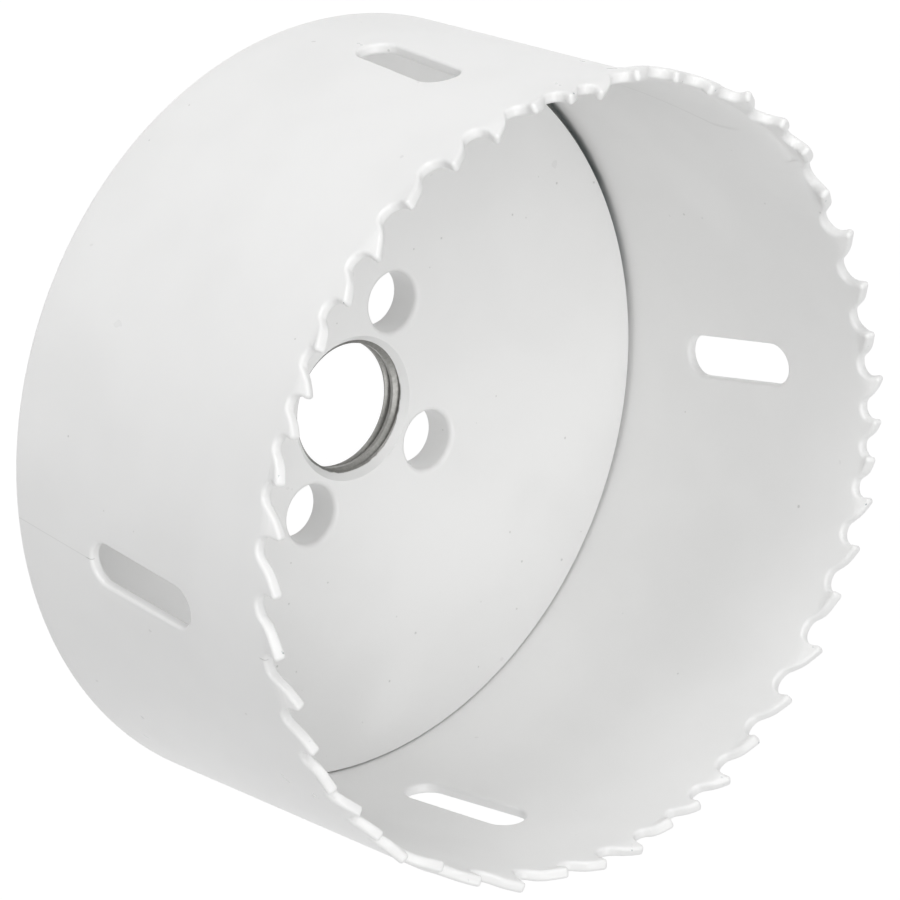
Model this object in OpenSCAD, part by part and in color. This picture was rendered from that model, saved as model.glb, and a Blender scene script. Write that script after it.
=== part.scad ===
// Hole saw, large cup with a welded end cap.
// Units are millimetres. +Z runs from the back of the cap to the teeth.
// The origin is the centre of the cap's back face. +X runs through the middle of a clearing slot.

/* [Band] */
// Outer diameter of the band's wall; the set teeth cut a slightly wider hole
saw_d = 89; // [83:0.5:95]
// Height from the back of the cap to the tooth tips
saw_h = 43.8; // [40:0.2:50]
// Thickness of the rolled band
band_t = 1.3; // [1:0.05:1.6]
// Bevel on the outer back edge of the band
back_bevel = 0.45; // [0.2:0.05:0.8]

/* [Teeth] */
// Depth of a gullet as a share of its pitch
gullet_share = 0.45; // [0.35:0.01:0.5]
// Radius of a gullet as a share of its pitch
gullet_r_share = 0.19; // [0.15:0.01:0.22]
// Lean of the cutting face, forward of the axis direction
rake_angle = 6; // [0:1:10]
// Slope behind the tip
relief_angle = 27; // [20:1:32]
// Slope from the relief down into the gullet
back_angle = 46; // [42:1:52]
// Sideways set of a tooth at its tip
tooth_set = 0.5; // [0.2:0.05:0.7]
// Turn of the whole row of teeth about the axis
tooth_turn = -59; // [-90:1:90]

/* [Slots] */
// Width of a clearing slot in the band
slot_w = 5.2; // [4.4:0.1:6]
// Length of a clearing slot
slot_l = 16.4; // [12:0.2:20]
// Height of the middle of the slots
slot_z = 20.9; // [18:0.2:24]
// Lean of a slot away from the axis direction
slot_lean = 8; // [0:1:12]

/* [Cap] */
// Thickness of the end cap
cap_t = 3.95; // [3.5:0.05:5]
// Height of the part of the cap's rim that is welded to the band
seat_h = 2; // [1.5:0.1:2.6]
// Mean width of the open crevice in front of the weld
crevice_w = 0.65; // [0.6:0.05:0.9]
// Shift of the cap's front rim inside the band
rim_shift = 0.45; // [0:0.05:0.5]

/* [Holes in the cap] */
// Diameter inside the crests of the central thread
bore_d = 14.6; // [14.2:0.1:15]
// Diameter at the mouth of the front lead-in
lead_front_d = 16.8; // [16:0.1:18]
// Diameter at the mouth of the back lead-in
lead_back_d = 16.2; // [15.8:0.1:17]
// Diameter of a drive-pin hole
pin_d = 7.5; // [7:0.1:8]
// Diameter of the circle through the drive-pin holes
pin_circle_d = 25.7; // [25:0.1:27]

/* [Hidden] */
$fn = 180;
coat = [0.93, 0.93, 0.93];
saw_r = saw_d / 2;
inner_r = saw_r - band_t;
// Small run-past that keeps a cut clear of the face it opens
past = 0.6;

// Pitches in degrees, clockwise from the joint of the strip: the group is stamped over and over,
// and the last few teeth are what is left where the two ends of the strip are joined
pitch_group = [8.4, 8.8, 8.1, 7.4, 6.5, 5.7, 6.3, 7.2, 7.5];
pitch_rest = [7.5, 8.4, 6.9, 7.7];
group_count = 5;
n_group = len(pitch_group);
n_teeth = group_count * n_group + len(pitch_rest);
function raw_pitch(k) = k < group_count * n_group ? pitch_group[k % n_group]
    : pitch_rest[k - group_count * n_group];
function raw_sum(k) = k == 0 ? 0 : raw_sum(k - 1) + raw_pitch(k - 1);
raw_total = raw_sum(n_teeth);
function pitch_a(k) = raw_pitch((k + n_teeth) % n_teeth) * 360 / raw_total;
tip_a = [for (k = [0 : n_teeth]) tooth_turn - raw_sum(k) * 360 / raw_total];

// Gullet k lies clockwise of tooth k and ends on the cutting face of the next tooth
function pitch_mm(k) = pitch_a(k) * PI / 180 * saw_r;
function gullet_d(k) = pitch_mm(k) * gullet_share;
function gullet_r(k) = pitch_mm(k) * gullet_r_share;
function gullet_x(k) = (gullet_r(k) - (gullet_d(k) - gullet_r(k)) * sin(rake_angle)) / cos(rake_angle);
function gullet_a(k) = gullet_x(k) / saw_r * 180 / PI;
arc_steps = 8;
// Set of tooth k: out, straight, in, and over again
function set_of(k) = k % 3 == 1 ? tooth_set : k % 3 == 2 ? 0 : -tooth_set;
// The bend of a set tooth starts just above its shallower gullet
bend_share = 0.93;
function bend_h(k) = bend_share * min(gullet_d(k), gullet_d(k - 1));

// The turned wall starts and ends behind the tip of a straight tooth
turn_start = tip_a[2] - pitch_a(2) / 3;

// Slots stand a quarter turn apart, but for the joint of the strip
slot_a = [0, 91, 175, 265];

rim_shift_a = 178;
rim_r = inner_r - crevice_w;
// Turn of the drive-pin holes from the first slot
pin_turn = 54;

// Outline of a gullet, x being counter-clockwise from the next tip and y up from the tips
module gullet_shape(k) {
    p = pitch_mm(k);
    r = gullet_r(k);
    cx = gullet_x(k);
    cy = r - gullet_d(k);
    arc_start = 180 - rake_angle;
    arc_turn = 90 + rake_angle + back_angle;
    arc = [for (i = [0 : arc_steps]) let (a = arc_start + arc_turn * i / arc_steps)
        [cx + r * cos(a), cy + r * sin(a)]];
    foot = arc[arc_steps];
    rise = sin(back_angle) - cos(back_angle) * tan(relief_angle);
    run = (-foot[1] - (p - foot[0]) * tan(relief_angle)) / rise;
    knee = foot + run * [cos(back_angle), sin(back_angle)];
    polygon(concat(
        [[past * tan(rake_angle), past]], arc,
        [knee, [p + past, past * tan(relief_angle)], [p + past, p / 4]]
    ));
}

module gullet(k) {
    rotate([0, 0, tip_a[k + 1]])
        translate([inner_r - 3 * past, 0, saw_h])
            rotate([90, 0, 90])
                linear_extrude(height = band_t + 6 * past)
                    gullet_shape(k);
}

module slot(a) {
    reach = slot_l / 2 - slot_w / 2;
    rotate([0, 0, a])
        translate([inner_r - 3 * past, 0, slot_z])
            rotate([90, 0, 90])
                rotate([0, 0, -slot_lean])
                    linear_extrude(height = band_t + 6 * past) {
                        translate([0, reach]) circle(d = slot_w, $fn = 64);
                        translate([0, -reach]) circle(d = slot_w, $fn = 64);
                        square([slot_w, 2 * reach], center = true);
                    }
}

// A sector round tooth k, from the bottom of one gullet to the bottom of the next
module tooth_sector(k) {
    a0 = tip_a[k + 1] + gullet_a(k);
    a1 = tip_a[k] + gullet_a(k - 1);
    rotate([0, 0, a0])
        rotate_extrude(angle = a1 - a0)
            children();
}

// Room above the bend of a set tooth, across the whole wall
module bend_room(k) {
    b = bend_h(k);
    tooth_sector(k)
        translate([inner_r - past, saw_h - b])
            square([band_t + 2 * past, b + past]);
}

// The bent part of a set tooth, leaning from the wall at the bend to its set at the tip
module bent_tooth(k) {
    b = bend_h(k);
    s = set_of(k);
    difference() {
        tooth_sector(k)
            polygon([
                [inner_r, saw_h - b], [saw_r, saw_h - b],
                [saw_r + s, saw_h], [inner_r + s, saw_h]
            ]);
        gullet(k);
        gullet(k == 0 ? n_teeth - 1 : k - 1);
    }
}

// The rolled strip with straight teeth. Every second gullet comes first, with the slots, so that
// no two cuts of one stage meet
module straight_band() {
    difference() {
        difference() {
            rotate([0, 0, turn_start])
                rotate_extrude()
                    polygon([
                        [inner_r, 0], [saw_r - back_bevel, 0], [saw_r, back_bevel],
                        [saw_r, saw_h], [inner_r, saw_h]
                    ]);
            for (k = [1 : 2 : n_teeth - 1]) gullet(k);
            for (a = slot_a) slot(a);
        }
        for (k = [0 : 2 : n_teeth - 1]) gullet(k);
    }
}

module toothed_band() {
    color(coat)
    union() {
        difference() {
            straight_band();
            for (k = [0 : n_teeth - 1]) if (set_of(k) != 0) bend_room(k);
        }
        for (k = [0 : n_teeth - 1]) if (set_of(k) != 0) bent_tooth(k);
    }
}

module end_cap() {
    lead_front = (lead_front_d - bore_d) / 2;
    lead_back = (lead_back_d - bore_d) / 2;
    color(coat)
    difference() {
        union() {
            cylinder(r = inner_r, h = seat_h);
            rotate([0, 0, rim_shift_a])
                translate([rim_shift, 0, 0])
                    cylinder(r = rim_r, h = cap_t);
        }
        translate([0, 0, -past])
            cylinder(d = bore_d, h = cap_t + 2 * past);
        translate([0, 0, cap_t - lead_front])
            cylinder(d1 = bore_d, d2 = lead_front_d + 2 * past, h = lead_front + past);
        translate([0, 0, -past])
            cylinder(d1 = lead_back_d + 2 * past, d2 = bore_d, h = lead_back + past);
        for (a = [pin_turn : 90 : pin_turn + 270])
            rotate([0, 0, a])
                translate([pin_circle_d / 2, 0, -past])
                    cylinder(d = pin_d, h = cap_t + 2 * past);
    }
}

toothed_band();
end_cap();
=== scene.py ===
# Hole saw: a rolled toothed band round a thick end cap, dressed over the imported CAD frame.
import bpy
import math
import numpy
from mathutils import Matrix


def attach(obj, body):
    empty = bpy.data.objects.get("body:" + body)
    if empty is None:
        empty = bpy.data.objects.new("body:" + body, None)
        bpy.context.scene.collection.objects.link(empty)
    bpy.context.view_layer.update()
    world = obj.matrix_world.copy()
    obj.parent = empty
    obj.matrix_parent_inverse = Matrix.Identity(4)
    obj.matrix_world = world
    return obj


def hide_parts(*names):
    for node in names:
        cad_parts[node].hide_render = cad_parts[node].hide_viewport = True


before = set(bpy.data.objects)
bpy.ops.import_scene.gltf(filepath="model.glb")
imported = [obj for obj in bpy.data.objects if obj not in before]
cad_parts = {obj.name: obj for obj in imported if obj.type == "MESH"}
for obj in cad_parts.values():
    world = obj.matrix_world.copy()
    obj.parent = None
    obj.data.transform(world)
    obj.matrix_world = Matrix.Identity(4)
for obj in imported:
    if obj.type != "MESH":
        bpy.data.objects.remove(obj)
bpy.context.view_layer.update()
mm = 0.001
plainGap = 0.002 * mm           # points nearer than this are merged in a plain shape
fineGap = 0.001 * mm            # and in one that has been cut fine
cutSnap = 0.0005 * mm           # of a cut to the points beside it, far finer than the default
print("frame loaded:", sorted(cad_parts))


# small helpers used by every piece
def pickOnly(piece):
    bpy.ops.object.select_all(action="DESELECT")
    piece.select_set(True)
    bpy.context.view_layer.objects.active = piece


def pickNothing(piece, mode):
    # leaves the piece in object mode with none of its parts picked
    pickOnly(piece)
    bpy.ops.object.mode_set(mode="EDIT")
    bpy.ops.mesh.select_mode(type=mode)
    bpy.ops.mesh.select_all(action="DESELECT")
    bpy.ops.object.mode_set(mode="OBJECT")


def editPicked(piece, mode, parts, field, test):
    # leaves the piece in edit mode with the parts picked whose places pass the test
    pickNothing(piece, mode)
    places = numpy.empty(len(parts) * 3)
    parts.foreach_get(field, places)
    x, y, z = places.reshape(-1, 3).T / mm
    parts.foreach_set("select", numpy.asarray(test(x, y, z), dtype=bool))
    bpy.ops.object.mode_set(mode="EDIT")


def editFaces(piece, test):
    editPicked(piece, "FACE", piece.data.polygons, "center", test)


def editPoints(piece, test):
    editPicked(piece, "VERT", piece.data.vertices, "co", test)


def editEdges(piece, test):
    # the same for edges, whose test is given the places of both ends
    pickNothing(piece, "EDGE")
    for edge in piece.data.edges:
        edge.select = test(*(piece.data.vertices[index].co for index in edge.vertices))
    bpy.ops.object.mode_set(mode="EDIT")


def doneEditing():
    bpy.ops.object.mode_set(mode="OBJECT")


def editAll(piece):
    pickOnly(piece)
    bpy.ops.object.mode_set(mode="EDIT")
    bpy.ops.mesh.select_all(action="SELECT")


def tidyMesh(piece, gap):
    editAll(piece)
    bpy.ops.mesh.remove_doubles(threshold=gap)
    bpy.ops.mesh.normals_make_consistent(inside=False)
    doneEditing()


def placeAndSettle(piece, move=(0, 0, 0), turn=(0, 0, 0)):
    # moves the piece and writes its place into its mesh
    pickOnly(piece)
    piece.location = move
    piece.rotation_euler = turn
    bpy.ops.object.transform_apply(location=True, rotation=True, scale=True)


def applyModifier(piece, kind, **values):
    pickOnly(piece)
    modifier = piece.modifiers.new(kind.lower(), kind)
    for key, value in values.items():
        setattr(modifier, key, value)
    bpy.ops.object.modifier_apply(modifier=modifier.name)


def cutAlong(place, normal, **values):
    # cuts the open piece's picked faces along a plane
    bpy.ops.mesh.bisect(plane_co=place, plane_no=normal, threshold=cutSnap, **values)


def cutAway(piece, cutter):
    applyModifier(piece, "BOOLEAN", operation="DIFFERENCE", solver="EXACT", object=cutter)
    bpy.data.objects.remove(cutter)


def meshFromCurve(name, curve):
    piece = bpy.data.objects.new(name, curve)
    bpy.context.scene.collection.objects.link(piece)
    pickOnly(piece)
    bpy.ops.object.convert(target="MESH")
    return bpy.context.object


def smoothShade(piece, shape):
    pickOnly(piece)
    bpy.ops.object.shade_smooth_by_angle(angle=math.radians(shape["smoothAngle"]))
    applyModifier(piece, "WEIGHTED_NORMAL", keep_sharp=True, weight=shape["normalWeight"])


# the photograph's camera
photoCamera = {
    "place": (0.218456, 0.334370, 0.429263),
    "turn": (-0.302323, -0.723977, -1.702706),
    "lens": 207.0,
    "shift": (-0.00930, -0.03463),
}

bpy.ops.object.camera_add(location=photoCamera["place"], rotation=photoCamera["turn"])
camera = bpy.context.object
camera.name = "photoCamera"
camera.data.lens = photoCamera["lens"]
camera.data.shift_x, camera.data.shift_y = photoCamera["shift"]
bpy.context.scene.camera = camera
print("camera placed")


# toothed band: cut from a flat strip, set, then rolled round the cap
bandShape = {
    "outerRadius": 44.5,
    "thickness": 1.3,
    "height": 43.8,
    "paintRound": 0.4,          # rounding of every edge by the paint
    "paintSteps": 3,
    "tipRound": 0.42,           # of a tooth's tip, seen from the side
    "tipBack": 0.77,            # of that radius, from the pitch line back to the middle of the round
    "tipSteps": 8,
    "columns": 270,             # facets round the band
    "rows": (0.9, 1.8, 6.0, 30.0, 34.5),    # heights of the lines that divide the strip
    "rowUnderTips": 4.4,        # and of one more, measured down from the tips
    "seamLead": 3.4,            # degrees from the first tooth to where the strip's ends meet
    "toothTurn": -59.9,
    "pitchGroup": (8.4, 8.8, 8.1, 7.4, 6.5, 5.7, 6.3, 7.2, 7.5),
    "groupCount": 5,
    "pitchRest": (7.5, 8.4, 6.9, 7.7),
    "gulletShare": 0.45,        # of the pitch: the gullet's depth, its floor's radius and its flat
    "gulletRadiusShare": 0.225,
    "floorShare": 0.03,
    "arcSteps": 12,
    "backSteps": 5,
    "rake": 11.0,
    "relief": 27.0,             # of the back near the tip, then of the back near the gullet
    "gulletRelief": 48.0,
    "bellyRound": 0.8,          # either side of the corner between them
    "bellySteps": 6,
    "toothSet": 0.6,
    "bendShare": 0.93,          # of the shallower gullet's depth, where a set tooth starts to bend
    "bends": 3,
    "bendStep": 0.45,           # from one easy bend of a set tooth to the next
    "slotPlaces": ((0.3, 20.6), (91, 20.9), (174.8, 21.0), (263.9, 21.7)),      # angle and height of each
    "slotWidth": 4.9,
    "slotLength": 16.4,
    "slotLean": 8.0,
    "slotSteps": 20,            # in each round end
    "peaks": (                  # where the strip's joined ends stand proud at the mouth:
        (-63, -12, 41.0, 0.45, 3.2),            # from, to, above this height, push, fading over
        (-58, -16, 41.0, 0.45, 4.0),
        (-53, -20, 41.0, 0.45, 5.0),
        (-56, -47, 41.0, 0.40, 4.0),
    ),
    "smoothAngle": 50,
    "normalWeight": 50,
}


def stripRadius(shape):
    # of the middle of the wall, which keeps its length when the strip is rolled
    return shape["outerRadius"] - shape["thickness"] / 2


def stripSqueeze(shape):
    # how long a length round the band's outside is along the strip
    return stripRadius(shape) / shape["outerRadius"]


def seamTurn(shape):
    return shape["toothTurn"] + shape["seamLead"]


def stripCentre(shape):
    # angle of the strip's middle, across from its seam
    return seamTurn(shape) - 180


def alongStrip(shape, angle):
    # place of an angle round the saw along the flat strip
    return math.radians(angle - stripCentre(shape)) * stripRadius(shape)


def toothPitches(shape):
    raw = list(shape["pitchGroup"]) * shape["groupCount"] + list(shape["pitchRest"])
    return [pitch * 360 / sum(raw) for pitch in raw]


def arcPoints(x, y, size, start, end, steps):
    turns = [start + (end - start) * step / steps for step in range(steps + 1)]
    return [(x + size * math.cos(turn), y + size * math.sin(turn)) for turn in turns]


def roundCorner(first, corner, last, steps):
    # an easy curve from first to last, drawn towards the corner
    points = []
    for step in range(steps + 1):
        t = step / steps
        points.append(tuple((1 - t) ** 2 * start + 2 * t * (1 - t) * middle + t ** 2 * end
                            for start, middle, end in zip(first, corner, last)))
    return points


def gulletOutline(shape, pitch):
    # from the belly of one tooth's back, over the gullet's floor and up to the next tip;
    # x counts from that tip's pitch line, y from the tips' height
    width = math.radians(pitch) * shape["outerRadius"]
    radius = width * shape["gulletRadiusShare"]
    depth = width * shape["gulletShare"]
    rake = math.radians(shape["rake"])
    tipRelief, relief = math.radians(shape["relief"]), math.radians(shape["gulletRelief"])
    tipRadius = shape["tipRound"]
    tipX, tipY = -shape["tipBack"] * tipRadius, -tipRadius
    height = radius - depth
    # where the floor's two arcs have their middles, the hook's so that it runs straight into the round tip
    face = tipX * math.cos(rake) - tipY * math.sin(rake) + tipRadius
    hookX = (radius + face + height * math.sin(rake)) / math.cos(rake)
    backX = hookX + width * shape["floorShare"]
    # the back's two slopes meet in a round belly
    high = tipY * math.cos(tipRelief) - (width + tipX) * math.sin(tipRelief) + tipRadius
    low = height * math.cos(relief) - backX * math.sin(relief) - radius
    cross = math.sin(relief - tipRelief)
    bellyX = (high * math.cos(relief) - low * math.cos(tipRelief)) / cross
    bellyY = (high * math.sin(relief) - low * math.sin(tipRelief)) / cross
    size = shape["bellyRound"]
    first = (bellyX + size * math.cos(tipRelief), bellyY + size * math.sin(tipRelief))
    last = (bellyX - size * math.cos(relief), bellyY - size * math.sin(relief))
    bottom = math.pi * 1.5
    belly = roundCorner(first, (bellyX, bellyY), last, shape["bellySteps"])
    back = arcPoints(backX, height, radius, bottom + relief, bottom, shape["backSteps"])
    hook = arcPoints(hookX, height, radius, bottom, math.pi - rake, shape["arcSteps"])
    tip = arcPoints(tipX, tipY, tipRadius, -rake, math.pi / 2 + tipRelief, shape["tipSteps"])
    return belly + back + hook + tip, depth, (hookX + backX) / 2


def toothRow(shape):
    # the line over the strip's teeth, and each gullet's place and depth
    pitches = toothPitches(shape)
    count = len(pitches)
    squeeze = stripSqueeze(shape)
    topLine, gullets = [], {}
    for k in range(-2, count + 2):
        outline, depth, bottom = gulletOutline(shape, pitches[k % count])
        rounds, after = divmod(k + 1, count)
        start = alongStrip(shape, shape["toothTurn"] - sum(pitches[:after]) - 360 * rounds)
        gullets[k] = (start + bottom * squeeze, depth)
        topLine += [(start + x * squeeze, shape["height"] + y) for x, y in outline]
    # both ends of the strip stand on the floor of a gullet
    dropped = 1 + shape["bellySteps"] + shape["backSteps"]
    droppedAtEnd = 1 + shape["tipSteps"] + shape["arcSteps"]
    return topLine[dropped:-droppedAtEnd], gullets


def slotOutline(shape, angle, height):
    # a long hole with round ends that leans from the axis
    while angle > seamTurn(shape):
        angle -= 360
    radius = shape["slotWidth"] / 2
    reach = (shape["slotLength"] - shape["slotWidth"]) / 2
    lean = math.radians(-shape["slotLean"])
    upper = arcPoints(0, reach, radius, 0, math.pi, shape["slotSteps"])
    lower = arcPoints(0, -reach, radius, math.pi, 2 * math.pi, shape["slotSteps"])
    return [(
        alongStrip(shape, angle) + (x * math.cos(lean) - y * math.sin(lean)) * stripSqueeze(shape),
        height + x * math.sin(lean) + y * math.cos(lean),
    ) for x, y in upper + lower]


def insetLoop(points, gap):
    # the closed outline moved into its own inside, each corner along its mitre
    area = sum(a[0] * b[1] - b[0] * a[1] for a, b in zip(points, points[1:] + points[:1]))
    side = 1 if area > 0 else -1
    moved = []
    for index, (x, y) in enumerate(points):
        before, after = points[index - 1], points[(index + 1) % len(points)]
        inLength = math.hypot(x - before[0], y - before[1])
        outLength = math.hypot(after[0] - x, after[1] - y)
        first = (-(y - before[1]) / inLength * side, (x - before[0]) / inLength * side)
        second = (-(after[1] - y) / outLength * side, (after[0] - x) / outLength * side)
        share = gap / (1 + first[0] * second[0] + first[1] * second[1])
        moved.append((x + share * (first[0] + second[0]), y + share * (first[1] + second[1])))
    return moved


def addOutline(curve, points):
    spline = curve.splines.new("POLY")
    spline.points.add(len(points) - 1)
    for point, (x, y) in zip(spline.points, points):
        point.co = (x * mm, y * mm, 0, 1)
    spline.use_cyclic_u = True


def cutStrip(shape, topLine):
    # the flat strip with its teeth and slots, its edges rounded by the paint
    curve = bpy.data.curves.new("flatStrip", "CURVE")
    curve.dimensions = "2D"
    curve.fill_mode = "BOTH"
    curve.extrude = (shape["thickness"] / 2 - shape["paintRound"]) * mm
    curve.bevel_depth = shape["paintRound"] * mm
    curve.bevel_resolution = shape["paintSteps"]
    stripOutline = [(topLine[0][0], 0.0)] + topLine + [(topLine[-1][0], 0.0)]
    addOutline(curve, insetLoop(stripOutline, shape["paintRound"]))
    for angle, height in shape["slotPlaces"]:
        addOutline(curve, insetLoop(slotOutline(shape, angle, height), -shape["paintRound"]))
    strip = meshFromCurve("toothedBandEnamel", curve)
    tidyMesh(strip, plainGap)
    print("strip cut:", len(strip.data.polygons), "faces")
    return strip


def divideStrip(strip, shape):
    # columns and rows to bend at, then both ends trimmed to the rolled length
    length = 2 * math.pi * stripRadius(shape)
    rows = (*shape["rows"], shape["height"] - shape["rowUnderTips"])
    pickOnly(strip)
    bpy.ops.object.mode_set(mode="EDIT")
    for step in range(1, shape["columns"]):
        bpy.ops.mesh.select_all(action="SELECT")
        cutAlong(((step / shape["columns"] - 0.5) * length * mm, 0, 0), (1, 0, 0))
    for height in rows:
        bpy.ops.mesh.select_all(action="SELECT")
        cutAlong((0, height * mm, 0), (0, 1, 0))
    for end in (1, -1):
        bpy.ops.mesh.select_all(action="SELECT")
        cutAlong((end * length / 2 * mm, 0, 0), (end, 0, 0), clear_outer=True)
    doneEditing()
    # both ends keep the same points, so that they close without a seam
    near, sameHeight = 0.001, 0.0004
    for end in (1, -1):
        def strayAtEnd(x, y, z):
            flat = (abs(x - end * length / 2) < near) & (abs(z) > shape["thickness"] / 2 - near)
            kept = [y[flat].min(), y[flat].max(), *rows]
            return flat & (numpy.min([abs(y - height) for height in kept], axis=0) > sameHeight)

        editPoints(strip, strayAtEnd)
        bpy.ops.mesh.dissolve_verts()
        doneEditing()
    print("strip divided:", len(strip.data.polygons), "faces")


def setTeeth(strip, shape, gullets):
    # of every three teeth two are set to opposite sides, each bent above its shallower gullet
    otherSide, straight = 1, 2
    cutReach, near = 2, 0.001
    count = len(toothPitches(shape))
    alike = {}
    for k in range(-1, count + 2):
        kind = (k % count) % 3
        if kind != straight:
            (left, leftDepth), (right, rightDepth) = gullets[k], gullets[k - 1]
            bendDepth = round(shape["bendShare"] * min(leftDepth, rightDepth), 4)
            alike.setdefault((kind, bendDepth), []).append((left, right))
    for (kind, bendDepth), spans in alike.items():
        reaches = [bendDepth - step * shape["bendStep"] for step in range(shape["bends"])]
        turn = shape["toothSet"] / sum(reaches) * (1 if kind == otherSide else -1)
        lines = [shape["height"] - reach for reach in reaches]

        def inSpans(x):
            return numpy.any([(low < x) & (x < high) for low, high in spans], axis=0)

        for line in lines:
            editFaces(strip, lambda x, y, z: inSpans(x) & (y > line - cutReach))
            cutAlong((0, line * mm, 0), (0, 1, 0))
            doneEditing()
        for line in lines:
            editPoints(strip, lambda x, y, z: inSpans(x) & (y > line + near))
            bpy.ops.transform.rotate(value=-turn, orient_axis="X", orient_type="GLOBAL",
                                     center_override=(0, line * mm, 0))
            doneEditing()
    heights = [point.co.z / mm for point in strip.data.vertices]
    print("teeth set:", round(min(heights), 3), round(max(heights), 3))


def rollStrip(strip, shape):
    # the strip stood up and rolled till its ends meet
    placeAndSettle(strip, turn=(math.pi / 2, 0, 0))
    applyModifier(strip, "SIMPLE_DEFORM", deform_method="BEND", deform_axis="Z", angle=2 * math.pi)
    placeAndSettle(strip, move=(0, -stripRadius(shape) * mm, 0))
    placeAndSettle(strip, turn=(0, 0, math.radians(stripCentre(shape) + 90)))
    tidyMesh(strip, fineGap)


def peakJoint(strip, shape):
    # the joint stands proud at the mouth
    for first, last, height, push, fade in shape["peaks"]:
        def inPeak(x, y, z):
            angle = numpy.degrees(numpy.arctan2(y, x))
            return (z > height) & (first < angle) & (angle < last)

        editPoints(strip, inPeak)
        turn = math.radians((first + last) / 2)
        bpy.ops.transform.translate(value=(push * math.cos(turn) * mm, push * math.sin(turn) * mm, 0),
                                    use_proportional_edit=True, proportional_edit_falloff="SMOOTH",
                                    proportional_size=fade * mm)
        doneEditing()
    print("joint peaked")


def makeBand(shape):
    topLine, gullets = toothRow(shape)
    strip = cutStrip(shape, topLine)
    divideStrip(strip, shape)
    setTeeth(strip, shape, gullets)
    rollStrip(strip, shape)
    peakJoint(strip, shape)
    smoothShade(strip, shape)
    return strip


band = makeBand(bandShape)
print("band rolled:", len(band.data.vertices), "points")


# end cap: turned disc with a stepped rim, drilled, and tapped with the central thread
capShape = {
    "seatRadius": 43.2,
    "seatHeight": 2.6,          # paint has pooled on the ledge in the crevice
    "rimRadius": 42.55,
    "rimShift": 0.45,
    "rimShiftAngle": 178,
    "rimFacets": 240,
    "thickness": 3.95,
    "boreRadius": 7.3,
    "boreFacets": 128,
    "frontMouthRadius": 8.4,
    "backMouthRadius": 8.1,
    "drillPast": 2,             # what a drill is longer than the cap is thick
    "mouthPast": 0.5,           # how far the cone that cuts a mouth goes past it at both ends
    "threadRoot": 7.94,
    "threadPitch": 1.411,
    "threadFlat": 0.25,         # at the thread's root
    "threadFlank": 30,
    "tapInside": 0.2,           # from the bore's wall in to the tap's own core
    "tapStart": 2.4,            # below the cap's back
    "tapTurns": 7,
    "tapSteps": 96,             # facets in a turn
    "tapPast": 0.6,             # left past each face when the tap is trimmed
    "pinRadius": 3.45,
    "pinMouthRound": 0.65,      # the paint rounds the mouths of the drive-pin holes more widely
    "pinMouthSteps": 5,
    "pinFacets": 72,
    "pinCount": 4,
    "pinCircleRadius": 12.85,
    "pinTurn": 54,
    "paintRound": 0.34,
    "paintSteps": 4,
    "paintAngle": 30,           # an edge sharper than this is rounded
    "smoothAngle": 38,
    "normalWeight": 60,
}


def makeTap(shape):
    # a screw with the thread's own profile, which leaves the thread where it is taken out of the bore
    pitch, root, flat = shape["threadPitch"], shape["threadRoot"], shape["threadFlat"]
    inner = shape["boreRadius"] - shape["tapInside"]
    flank = (root - inner) * math.tan(math.radians(shape["threadFlank"]))
    profile = [(inner, -pitch / 2), (inner, -flat / 2 - flank), (root, -flat / 2), (root, flat / 2),
               (inner, flat / 2 + flank), (inner, pitch / 2)]
    curve = bpy.data.curves.new("tapProfile", "CURVE")
    curve.dimensions = "3D"
    spline = curve.splines.new("POLY")
    spline.points.add(len(profile) - 1)
    for point, (radius, height) in zip(spline.points, profile):
        point.co = (radius * mm, 0, (height - shape["tapStart"]) * mm, 1)
    tap = meshFromCurve("tap", curve)
    applyModifier(tap, "SCREW", axis="Z", angle=2 * math.pi, screw_offset=pitch * mm,
                  iterations=shape["tapTurns"], steps=shape["tapSteps"], render_steps=shape["tapSteps"],
                  use_merge_vertices=False)
    tidyMesh(tap, plainGap)
    for height, below in ((-shape["tapPast"], True), (shape["thickness"] + shape["tapPast"], False)):
        editAll(tap)
        cutAlong((0, 0, height * mm), (0, 0, 1), use_fill=True, clear_inner=below, clear_outer=not below)
        doneEditing()
    tidyMesh(tap, plainGap)
    return tap


def turnDisc(shape):
    # the disc, with the step of its front rim a little off centre
    near = 0.01
    bpy.ops.object.select_all(action="DESELECT")
    bpy.ops.mesh.primitive_cylinder_add(vertices=shape["rimFacets"], radius=shape["seatRadius"] * mm,
                                        depth=shape["seatHeight"] * mm,
                                        location=(0, 0, shape["seatHeight"] / 2 * mm))
    cap = bpy.context.object
    cap.name = "endCapEnamel"
    placeAndSettle(cap, move=cap.location.copy())
    turn = math.radians(shape["rimShiftAngle"])
    shift = (shape["rimShift"] * math.cos(turn) * mm, shape["rimShift"] * math.sin(turn) * mm, 0)
    rise = (0, 0, (shape["thickness"] - shape["seatHeight"]) * mm)
    editFaces(cap, lambda x, y, z: z > shape["seatHeight"] - near)
    bpy.ops.mesh.inset(thickness=(shape["seatRadius"] - shape["rimRadius"]) * mm, use_even_offset=True)
    bpy.ops.transform.translate(value=shift)
    bpy.ops.mesh.extrude_region_move(TRANSFORM_OT_translate={"value": rise})
    doneEditing()
    return cap


def drill(cap, shape, radius, facets, x=0, y=0):
    bpy.ops.mesh.primitive_cylinder_add(vertices=facets, radius=radius * mm,
                                        depth=(shape["thickness"] + shape["drillPast"]) * mm,
                                        location=(x, y, shape["thickness"] / 2 * mm))
    cutAway(cap, bpy.context.object)


def openMouth(cap, shape, lowRadius, highRadius, depth, middle):
    bpy.ops.mesh.primitive_cone_add(vertices=shape["boreFacets"], radius1=lowRadius * mm,
                                    radius2=highRadius * mm, depth=(depth + 2 * shape["mouthPast"]) * mm,
                                    location=(0, 0, middle * mm))
    cutAway(cap, bpy.context.object)


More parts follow.
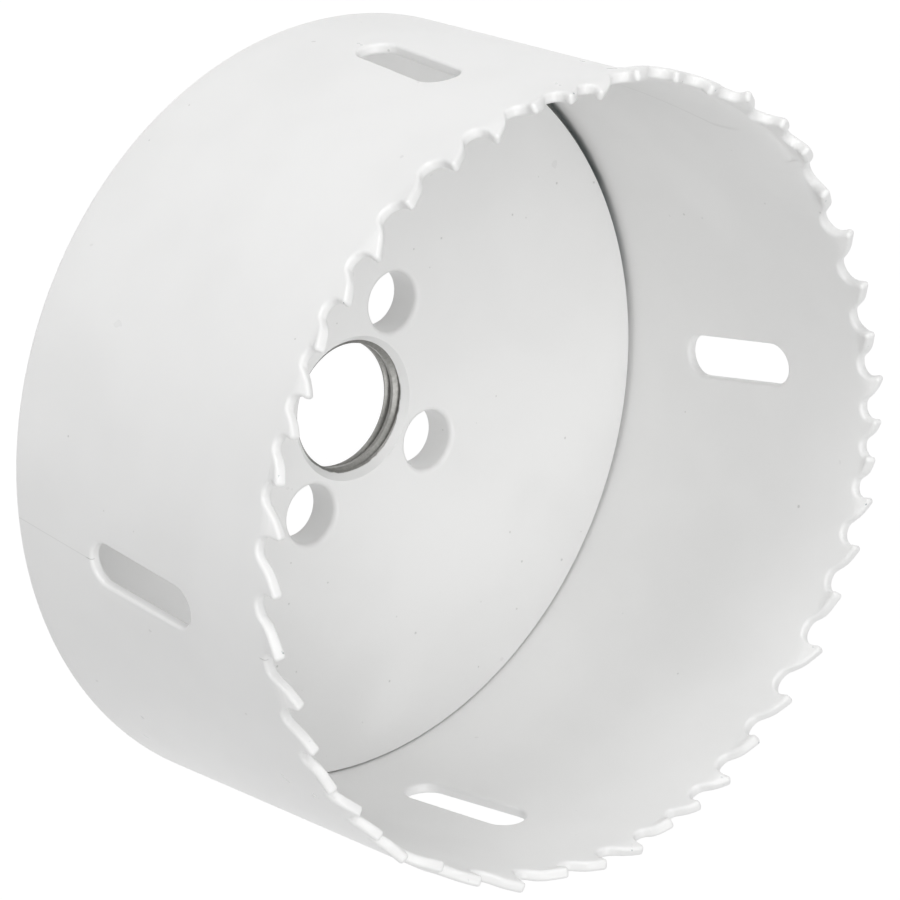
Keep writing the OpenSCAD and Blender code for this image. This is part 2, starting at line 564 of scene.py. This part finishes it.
def drillPinHole(cap, shape, turn):
    near, nearWall, shortEdge = 0.01, 0.02, 0.5
    x = shape["pinCircleRadius"] * math.cos(turn) * mm
    y = shape["pinCircleRadius"] * math.sin(turn) * mm
    drill(cap, shape, shape["pinRadius"], shape["pinFacets"], x, y)

    def onMouth(place):
        return (place.z > (shape["thickness"] - near) * mm
                and math.hypot(place.x - x, place.y - y) < (shape["pinRadius"] + nearWall) * mm)

    # only the short edges round the mouth, not those that join it to the rest of the face
    editEdges(cap, lambda first, second: onMouth(first) and onMouth(second)
              and (first - second).length < shortEdge * mm)
    bpy.ops.mesh.bevel(offset=shape["pinMouthRound"] * mm, segments=shape["pinMouthSteps"], affect="EDGES")
    doneEditing()


def makeCap(shape):
    cap = turnDisc(shape)
    bore, past = shape["boreRadius"], shape["mouthPast"]
    frontDepth = shape["frontMouthRadius"] - bore
    backDepth = shape["backMouthRadius"] - bore
    bpy.ops.object.select_all(action="DESELECT")
    drill(cap, shape, bore, shape["boreFacets"])
    openMouth(cap, shape, bore - past, shape["frontMouthRadius"] + past, frontDepth,
              shape["thickness"] - frontDepth / 2)
    openMouth(cap, shape, shape["backMouthRadius"] + past, bore - past, backDepth, backDepth / 2)
    for index in range(shape["pinCount"]):
        drillPinHole(cap, shape, math.radians(shape["pinTurn"] + 360 / shape["pinCount"] * index))
    applyModifier(cap, "BEVEL", width=shape["paintRound"] * mm, segments=shape["paintSteps"],
                  limit_method="ANGLE", angle_limit=math.radians(shape["paintAngle"]),
                  use_clamp_overlap=True)
    cutAway(cap, makeTap(shape))
    tidyMesh(cap, fineGap)
    smoothShade(cap, shape)
    return cap


cap = makeCap(capShape)
print("cap turned, drilled and tapped:", len(cap.data.polygons), "faces")


# finishes; a noise is given by its scale, detail and roughness
enamelLook = {
    "white": (0.87, 0.87, 0.865),
    "greyer": (0.845, 0.845, 0.84),
    "cloudNoise": (60, 2),
    "cloudSpan": (0.35, 0.65),  # of the noise, from white to greyer
    "roughness": 0.3,
    "roughnessDrift": 0.05,
    "roughnessNoise": (350, 2),
    "shineIndex": 1.5,
    "peelNoise": (750, 2, 0.45),
    "peelDepth": 0.012,
    "speck": (0.30, 0.30, 0.29),
    "speckKinds": ((390, 0.085), (160, 0.05)),      # scale of the pattern, and size in its cells
    "speckStrength": 0.35,
    "speckHeight": 0.03,
    "paintDepth": 0.05,
    "steel": (0.22, 0.265, 0.28),
    "steelLight": (0.44, 0.49, 0.50),
    "steelNoise": (2200, 3, 0.6),
    "steelShine": 0.75,         # less than 1, as the bare steel is dull with oxide
    "steelRoughness": 0.34,
    "dustShare": 0.15,          # of the pattern's cells; most lie under the surface and don't show
}
capLook = dict(enamelLook, steel=(0.165, 0.165, 0.155), steelLight=(0.36, 0.355, 0.34), dustShare=1.0)


class NodeBench:
    # a short way to lay and join nodes in one material
    def __init__(self, name):
        self.material = bpy.data.materials.new(name)
        self.material.use_nodes = True
        self.tree = self.material.node_tree
        self.tree.nodes.clear()
        output = self.tree.nodes.new("ShaderNodeOutputMaterial")
        self.shader = self.tree.nodes.new("ShaderNodeBsdfPrincipled")
        self.tree.links.new(self.shader.outputs["BSDF"], output.inputs["Surface"])
        coordinates = self.tree.nodes.new("ShaderNodeTexCoord")
        self.place = coordinates.outputs["Object"]
        split = self.tree.nodes.new("ShaderNodeSeparateXYZ")
        self.tree.links.new(self.place, split.inputs[0])
        self.x, self.y, self.z = split.outputs

    def join(self, value, socket):
        if isinstance(value, bpy.types.NodeSocket):
            self.tree.links.new(value, socket)
        else:
            socket.default_value = value

    def math(self, operation, first, second=0.0, third=0.0):
        node = self.tree.nodes.new("ShaderNodeMath")
        node.operation = operation
        for value, socket in zip((first, second, third), node.inputs):
            self.join(value, socket)
        return node.outputs[0]

    def times(self, first, *others):
        for other in others:
            first = self.math("MULTIPLY", first, other)
        return first

    def radius(self):
        # from the saw's axis
        return self.math("SQRT", self.math("ADD", self.times(self.x, self.x), self.times(self.y, self.y)))

    def ramp(self, value, low, high):
        # 0 below low, 1 above high, smooth between; high may be the lower one
        node = self.tree.nodes.new("ShaderNodeMapRange")
        node.interpolation_type = "SMOOTHSTEP"
        self.join(value, node.inputs["Value"])
        if low < high:
            node.inputs["From Min"].default_value, node.inputs["From Max"].default_value = low, high
        else:
            node.inputs["From Min"].default_value, node.inputs["From Max"].default_value = high, low
            node.inputs["To Min"].default_value, node.inputs["To Max"].default_value = 1, 0
        return node.outputs["Result"]

    def rampOver(self, value, span):
        # the same for a length, over a span in millimetres
        return self.ramp(value, span[0] * mm, span[1] * mm)

    def noise(self, scale, detail=2.0, roughness=0.5):
        node = self.tree.nodes.new("ShaderNodeTexNoise")
        self.tree.links.new(self.place, node.inputs["Vector"])
        node.inputs["Scale"].default_value = scale
        node.inputs["Detail"].default_value = detail
        node.inputs["Roughness"].default_value = roughness
        return node.outputs["Fac"]

    def wobble(self, value, scale, width):
        # the value, wandering by up to half the width either way
        drift = self.math("MULTIPLY_ADD", self.noise(scale), width, -width / 2)
        return self.math("ADD", value, drift)

    def specks(self, scale, size, share):
        # round specks in a share of the cells of the pattern
        smallest, softFrom = 0.3, 0.5
        node = self.tree.nodes.new("ShaderNodeTexVoronoi")
        self.tree.links.new(self.place, node.inputs["Vector"])
        node.inputs["Scale"].default_value = scale
        split = self.tree.nodes.new("ShaderNodeSeparateXYZ")
        self.tree.links.new(node.outputs["Color"], split.inputs[0])
        chosen = self.math("LESS_THAN", split.outputs[0], share)
        reach = self.math("MULTIPLY_ADD", split.outputs[1], size * (1 - smallest), size * smallest)
        near = self.math("DIVIDE", node.outputs["Distance"], reach)
        return self.times(chosen, self.ramp(near, 1.0, softFrom))

    def mixColour(self, share, first, second):
        node = self.tree.nodes.new("ShaderNodeMix")
        node.data_type = "RGBA"
        self.join(share, node.inputs["Factor"])
        for value, socket in zip((first, second), (node.inputs[6], node.inputs[7])):
            self.join(value if isinstance(value, bpy.types.NodeSocket) else (*value, 1), socket)
        return node.outputs[2]

    def mixValue(self, share, first, second):
        node = self.tree.nodes.new("ShaderNodeMix")
        self.join(share, node.inputs["Factor"])
        self.join(first, node.inputs[2])
        self.join(second, node.inputs[3])
        return node.outputs[0]

    def bump(self, height, distance, normal=None):
        node = self.tree.nodes.new("ShaderNodeBump")
        node.inputs["Distance"].default_value = distance
        node.inputs["Strength"].default_value = 1.0
        self.join(height, node.inputs["Height"])
        if normal is not None:
            self.join(normal, node.inputs["Normal"])
        return node.outputs["Normal"]


def enamelOverSteel(name, look, bareShare):
    # gloss enamel with faint orange peel and dust specks; bareShare(bench) says where the steel shows
    bench = NodeBench(name)
    white = bench.mixColour(bench.ramp(bench.noise(*look["cloudNoise"]), *look["cloudSpan"]),
                            look["white"], look["greyer"])
    dust = bench.math("MAXIMUM", *(bench.specks(scale, size, look["dustShare"])
                                   for scale, size in look["speckKinds"]))
    paint = bench.mixColour(bench.times(dust, look["speckStrength"]), white, look["speck"])
    bare, darkLine = bareShare(bench)
    paint = bench.mixColour(darkLine, paint, look["speck"])
    steel = bench.mixColour(bench.noise(*look["steelNoise"]), look["steel"], look["steelLight"])
    bench.join(bench.mixColour(bare, paint, steel), bench.shader.inputs["Base Color"])
    bench.join(bench.times(bare, look["steelShine"]), bench.shader.inputs["Metallic"])
    smoother, rougher = (look["roughness"] + side * look["roughnessDrift"] for side in (-1, 1))
    paintRough = bench.mixValue(bench.noise(*look["roughnessNoise"]), smoother, rougher)
    bench.join(bench.mixValue(bare, paintRough, look["steelRoughness"]), bench.shader.inputs["Roughness"])
    peel = bench.bump(bench.noise(*look["peelNoise"]), look["peelDepth"] * mm)
    peel = bench.bump(dust, look["speckHeight"] * mm, normal=peel)
    bench.join(bench.bump(bare, -look["paintDepth"] * mm, normal=peel), bench.shader.inputs["Normal"])
    bench.shader.inputs["IOR"].default_value = look["shineIndex"]
    return bench.material


# where the finishes are bare or marked: spans in mm from nothing to all, angles in degrees
wideSide = {
    "angle": -20,
    "span": (6, 38),            # from the axis towards that angle
    "wobble": (70, 30),
}
bandWear = {
    "wobble": (500, 0.5),
    "creviceHeight": (4.35, 2.8),
    "insideRadius": (43.9, 43.4),
    "tipHeight": (42.7, 43.6),
    "tipNoise": (900, 3, 0.6),
    "tipSpan": (0.66, 0.72),    # of that noise
    "hairAngle": 87.6,          # at the band's back
    "hairLean": 8,
    "hairWidth": (0.0019, 0.0006),          # either side, in radians
    "hairRadius": (43.9, 44.2),
    "hairLow": (13.5, 12.8),
    "hairLowShare": 0.16,
    "hairNotch": (11.7, 12.2),
    "hairNotchShare": 0.4,
    "hairTop": (39.9, 40.4),
    "hairTopShare": 0.5,
    "innerLineAngle": -46.5,        # at the mouth
    "innerLineBow": 11.5,
    "innerLineBowHeight": (37, 25),
    "innerLineWobble": (60, 0.05),  # in radians
    "innerLineWidth": (0.016, 0.0),
    "innerLineHeight": (23, 27),
    "innerLineShare": 0.15,
}
capWear = {
    "wobble": (700, 0.3),
    "threadRadius": (8.2, 8.0),
    "threadTop": (3.25, 3.12),
    "threadLow": (0.4, 0.55),
    "sideRadius": (41.7, 41.9),
    "sideTop": (3.6, 3.3),
    "sideLow": (2.4, 2.5),
}


def openSide(bench, side):
    # 1 where the crevice is wide and its steel shows, 0 where paint bridges it
    angle = math.radians(side["angle"])
    scale, width = side["wobble"]
    toward = bench.math("ADD", bench.times(bench.x, math.cos(angle)), bench.times(bench.y, math.sin(angle)))
    return bench.rampOver(bench.wobble(toward, scale, width * mm), side["span"])


def hairLine(bench, wear, angle, radius):
    # hair line through the slot on the +Y side, seen outside near the back and near the mouth
    slope = math.tan(math.radians(wear["hairLean"])) / (bandShape["outerRadius"] * mm)
    slant = bench.math("MULTIPLY_ADD", bench.z, slope, math.radians(wear["hairAngle"]))
    off = bench.math("ABSOLUTE", bench.math("SUBTRACT", angle, slant))
    line = bench.times(bench.ramp(off, *wear["hairWidth"]), bench.rampOver(radius, wear["hairRadius"]))
    low = bench.rampOver(bench.z, wear["hairLow"])
    notch = bench.times(bench.rampOver(bench.z, wear["hairNotch"]), low)
    top = bench.times(bench.rampOver(bench.z, wear["hairTop"]), wear["hairTopShare"])
    faint = bench.times(low, wear["hairLowShare"])
    reach = bench.math("MAXIMUM", bench.math("MULTIPLY_ADD", notch, wear["hairNotchShare"], faint), top)
    return bench.times(line, reach)


def faintInnerLine(bench, wear, angle, inside):
    # a faint dull line on the inner wall, from the mouth down to mid height, bowing round as it goes down
    scale, width = wear["innerLineWobble"]
    bow = bench.rampOver(bench.z, wear["innerLineBowHeight"])
    pathAngle = bench.math("MULTIPLY_ADD", bow, math.radians(wear["innerLineBow"]), math.radians(wear["innerLineAngle"]))
    pathAngle = bench.wobble(pathAngle, scale, width)
    away = bench.math("ABSOLUTE", bench.math("SUBTRACT", angle, pathAngle))
    line = bench.times(bench.ramp(away, *wear["innerLineWidth"]), bench.rampOver(bench.z, wear["innerLineHeight"]))
    return bench.times(line, bench.times(inside, wear["innerLineShare"]))


def bandBare(bench):
    # inside the crevice the inner wall is unpainted, and the paint is rubbed through at some tooth tips
    wear = bandWear
    scale, width = wear["wobble"]
    radius = bench.radius()
    angle = bench.math("ARCTAN2", bench.y, bench.x)
    inside = bench.rampOver(radius, wear["insideRadius"])
    low = bench.rampOver(bench.wobble(bench.z, scale, width * mm), wear["creviceHeight"])
    crevice = bench.times(low, inside, openSide(bench, wideSide))
    worn = bench.times(bench.rampOver(bench.z, wear["tipHeight"]),
                       bench.ramp(bench.noise(*wear["tipNoise"]), *wear["tipSpan"]))
    bare = bench.math("MAXIMUM", crevice, worn)
    marks = bench.math("MAXIMUM", hairLine(bench, wear, angle, radius), faintInnerLine(bench, wear, angle, inside))
    return bare, marks


def capBare(bench):
    # the thread and the sides of the crevice are bare
    wear = capWear
    scale, width = wear["wobble"]
    radius = bench.radius()
    height = bench.wobble(bench.z, scale, width * mm)
    thread = bench.times(bench.rampOver(radius, wear["threadRadius"]),
                         bench.times(bench.rampOver(height, wear["threadTop"]),
                                     bench.rampOver(height, wear["threadLow"])))
    side = bench.times(bench.rampOver(radius, wear["sideRadius"]), bench.rampOver(height, wear["sideTop"]),
                       bench.rampOver(bench.z, wear["sideLow"]), openSide(bench, wideSide))
    return bench.math("MAXIMUM", thread, side), 0.0


for piece, node, slot, look, rule in (
    (band, "toothed_band", "band_enamel", enamelLook, bandBare),
    (cap, "end_cap", "cap_enamel", capLook, capBare),
):
    piece.data.materials.clear()
    piece.data.materials.append(enamelOverSteel(piece.name + "Finish", look, rule))
    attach(piece, "root")
    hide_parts(node)
print("finishes laid")


# plain pale floor and soft studio light
studio = {
    "floorSize": 6,
    "floorDrop": 0.00002,       # from the saw's back face down to the floor
    "floorColour": (0.62, 0.62, 0.62),
    "floorShown": 0.9,          # share of the floor's own whiteness that the camera sees
    "floorWhite": 1.08,
    "worldLight": 0.47,
    "worldUp": (0.92, -0.31, -0.23),    # towards the top of the picture, where the room is a little darker
    "worldSlope": -0.2,
    "lampAim": 0.02,            # height that the lamps point at
    "lamps": (                  # name, place, size, power
        ("keyLamp", (0.60, 0.18, 0.66), 0.7, 1.95),
        ("mouthLamp", (-0.30, 0.30, 0.88), 0.6, 1.95),
        ("sideLamp", (0.95, 0.15, 0.16), 0.28, 2.1),
        ("frontLamp", (0.375, 0.596, 0.711), 0.6, 1.2),
    ),
}


def emptyTree(owner):
    owner.use_nodes = True
    owner.node_tree.nodes.clear()
    return owner.node_tree


def seenDirectly(tree):
    # 1 for what the camera, a mirror or glass sees, 0 for light that falls on things
    path = tree.nodes.new("ShaderNodeLightPath")
    total = path.outputs["Is Camera Ray"]
    for name in ("Is Glossy Ray", "Is Transmission Ray"):
        node = tree.nodes.new("ShaderNodeMath")
        node.operation = "MAXIMUM"
        tree.links.new(total, node.inputs[0])
        tree.links.new(path.outputs[name], node.inputs[1])
        total = node.outputs[0]
    return total


def floorFinish(values):
    finish = bpy.data.materials.new("paleFloorFinish")
    tree = emptyTree(finish)
    diffuse = tree.nodes.new("ShaderNodeBsdfDiffuse")
    diffuse.inputs["Color"].default_value = (*values["floorColour"], 1)
    shown = tree.nodes.new("ShaderNodeEmission")
    shown.inputs["Strength"].default_value = values["floorWhite"]
    share = tree.nodes.new("ShaderNodeMath")
    share.operation = "MULTIPLY"
    share.inputs[1].default_value = values["floorShown"]
    tree.links.new(seenDirectly(tree), share.inputs[0])
    mix = tree.nodes.new("ShaderNodeMixShader")
    tree.links.new(share.outputs[0], mix.inputs[0])
    tree.links.new(diffuse.outputs[0], mix.inputs[1])
    tree.links.new(shown.outputs[0], mix.inputs[2])
    output = tree.nodes.new("ShaderNodeOutputMaterial")
    tree.links.new(mix.outputs[0], output.inputs["Surface"])
    return finish


def lightRoom(values):
    # even light that is a little weaker from the top of the picture, and plain white where it is seen
    world = bpy.data.worlds.new("studioWorld")
    bpy.context.scene.world = world
    tree = emptyTree(world)
    toward = tree.nodes.new("ShaderNodeTexCoord")
    slope = tree.nodes.new("ShaderNodeVectorMath")
    slope.operation = "DOT_PRODUCT"
    tree.links.new(toward.outputs["Generated"], slope.inputs[0])
    slope.inputs[1].default_value = values["worldUp"]
    lit = tree.nodes.new("ShaderNodeMath")
    lit.operation = "MULTIPLY_ADD"
    tree.links.new(slope.outputs["Value"], lit.inputs[0])
    lit.inputs[1].default_value = values["worldLight"] * values["worldSlope"]
    lit.inputs[2].default_value = values["worldLight"]
    strength = tree.nodes.new("ShaderNodeMix")
    tree.links.new(seenDirectly(tree), strength.inputs["Factor"])
    tree.links.new(lit.outputs["Value"], strength.inputs[2])
    strength.inputs[3].default_value = 1.0
    background = tree.nodes.new("ShaderNodeBackground")
    background.inputs["Color"].default_value = (1, 1, 1, 1)
    tree.links.new(strength.outputs[0], background.inputs["Strength"])
    output = tree.nodes.new("ShaderNodeOutputWorld")
    tree.links.new(background.outputs[0], output.inputs["Surface"])


def softLamp(aimHeight, name, place, size, power):
    bpy.ops.object.light_add(type="AREA", location=place)
    lamp = bpy.context.object
    lamp.name = name
    lamp.data.shape = "DISK"
    lamp.data.size = size
    lamp.data.energy = power
    aim = lamp.location.copy()
    aim.z -= aimHeight
    lamp.rotation_euler = aim.to_track_quat("Z", "Y").to_euler()


bpy.ops.object.select_all(action="DESELECT")
bpy.ops.mesh.primitive_plane_add(size=studio["floorSize"], location=(0, 0, -studio["floorDrop"]))
floor = bpy.context.object
floor.name = "paleFloor"
floor.data.materials.append(floorFinish(studio))
lightRoom(studio)
for lamp in studio["lamps"]:
    softLamp(studio["lampAim"], *lamp)
bpy.context.scene.view_settings.view_transform = "Standard"
print("studio lit")
